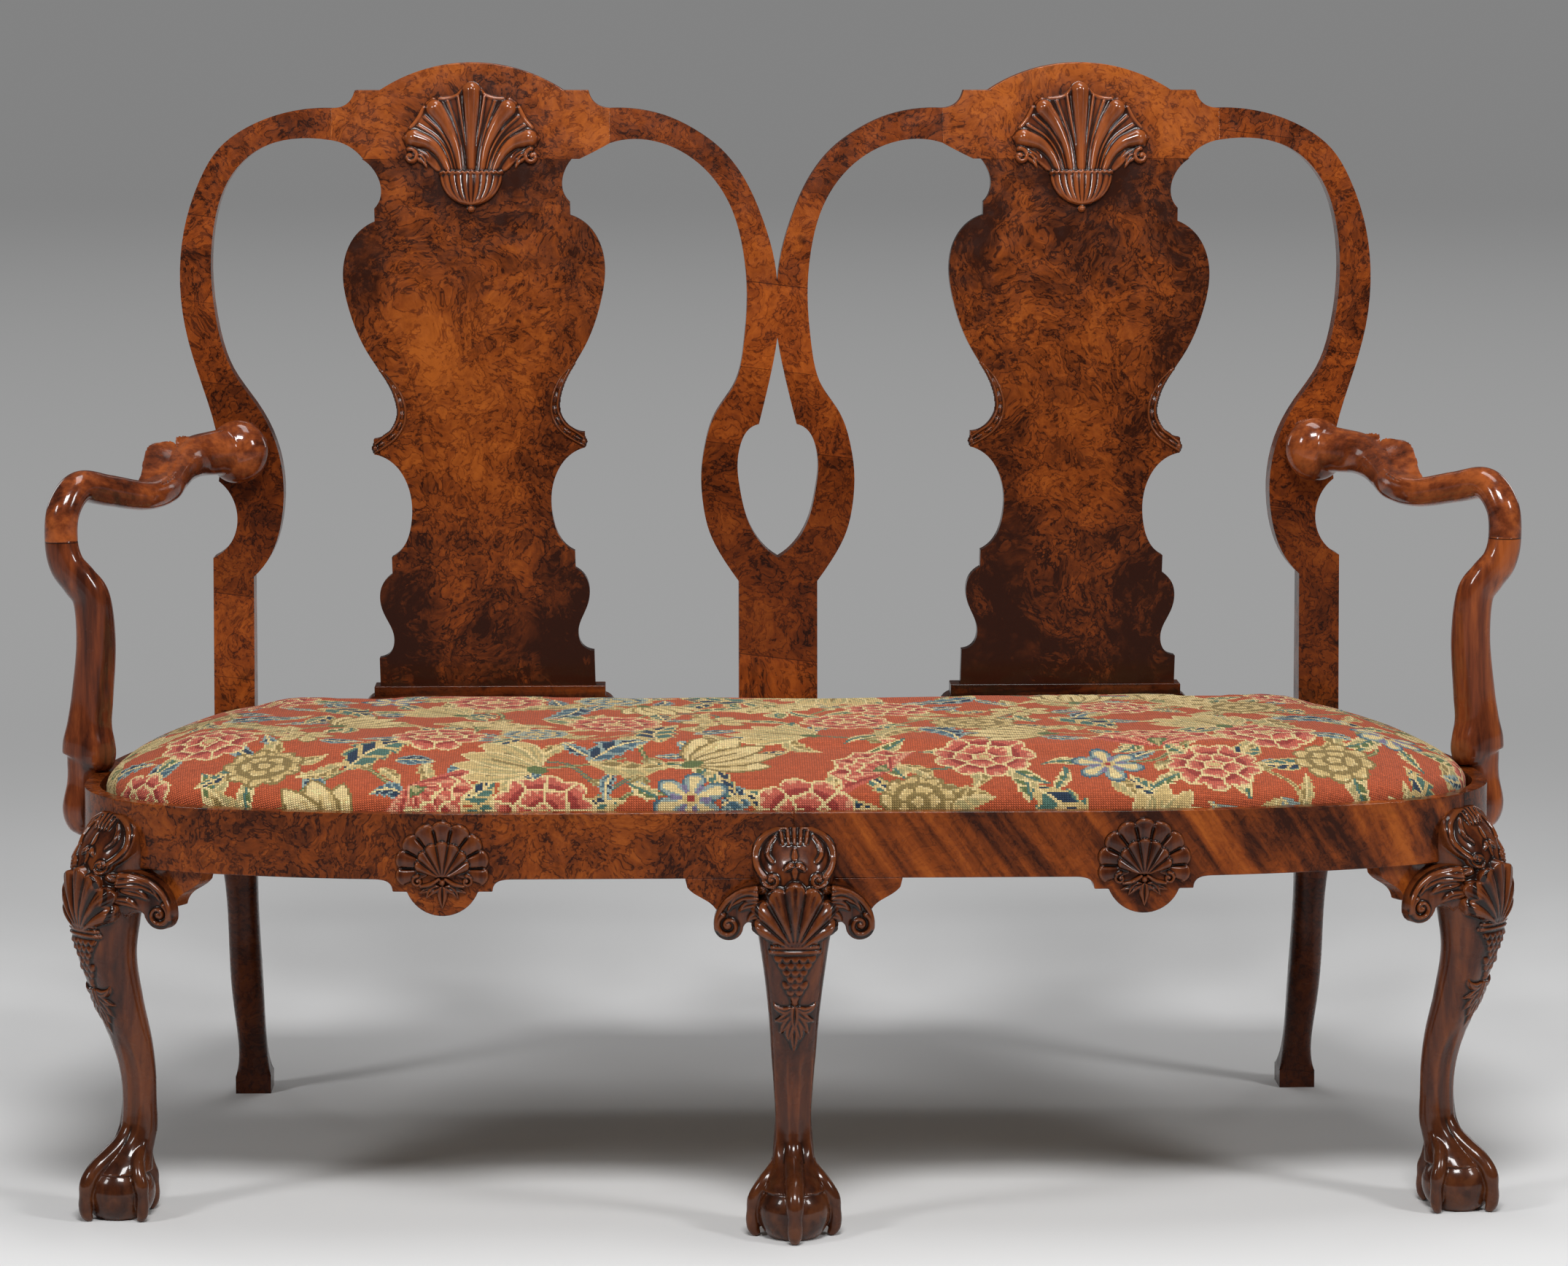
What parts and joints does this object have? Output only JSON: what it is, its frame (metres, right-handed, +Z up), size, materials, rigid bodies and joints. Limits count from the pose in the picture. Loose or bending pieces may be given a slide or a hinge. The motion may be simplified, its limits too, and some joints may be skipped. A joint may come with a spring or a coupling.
{
  "type": "settee",
  "caption": "Carved walnut settee with paired hooped backs, vase splats, crook arms, cabriole front legs on claw-and-ball feet and a lift-out needlework seat.",
  "frame": {"origin": "on the floor, under the centre of the settee's bounding box", "axes": "+X to the right of a viewer in front of the settee, +Y from the front to the back, +Z up"},
  "size_m": [1.4016, 0.6925, 1.054],
  "materials": {
    "burr_walnut": "polished",
    "stile_walnut": "polished",
    "carved_walnut": "polished",
    "plain_wood": "matte",
    "screw_steel": "satin",
    "webbing": "matte",
    "stuffing": "matte",
    "needlework": "matte"
  },
  "bodies": {
    "frame": {"left_stile": "stile_walnut", "right_stile": "stile_walnut", "left_middle_stile": "stile_walnut", "right_middle_stile": "stile_walnut", "left_crest": "burr_walnut", "right_crest": "burr_walnut", "left_splat": "burr_walnut", "right_splat": "burr_walnut", "left_shoe": "stile_walnut", "right_shoe": "stile_walnut", "left_crest_shell": "carved_walnut", "right_crest_shell": "carved_walnut", "left_front_rail": "burr_walnut", "right_front_rail": "burr_walnut", "left_side_rail": "burr_walnut", "right_side_rail": "burr_walnut", "rear_rail": "plain_wood", "seat_strut": "plain_wood", "corner_blocks": "plain_wood", "left_rail_shell": "carved_walnut", "right_rail_shell": "carved_walnut", "left_leg": "carved_walnut", "middle_leg": "carved_walnut", "right_leg": "carved_walnut", "left_front_ear": "carved_walnut", "left_side_ear": "carved_walnut", "middle_left_ear": "carved_walnut", "middle_right_ear": "carved_walnut", "right_front_ear": "carved_walnut", "right_side_ear": "carved_walnut", "left_front_bracket": "burr_walnut", "left_side_bracket": "burr_walnut", "middle_left_bracket": "burr_walnut", "middle_right_bracket": "burr_walnut", "right_front_bracket": "burr_walnut", "right_side_bracket": "burr_walnut", "left_arm": "carved_walnut", "right_arm": "carved_walnut", "left_arm_support": "carved_walnut", "right_arm_support": "carved_walnut", "arm_screws": "screw_steel"},
    "slip_seat": {"seat_front_rail": "plain_wood", "seat_rear_rail": "plain_wood", "seat_left_rail": "plain_wood", "seat_right_rail": "plain_wood", "seat_bar": "plain_wood", "webbing": "webbing", "stuffing": "stuffing", "needlework_cover": "needlework"}
  },
  "joints": [
    {"name": "seat_lift", "type": "slide", "parent": "frame", "child": "slip_seat", "axis": [0, 0, 1], "range_m": [0, 0.15]}
  ]
}
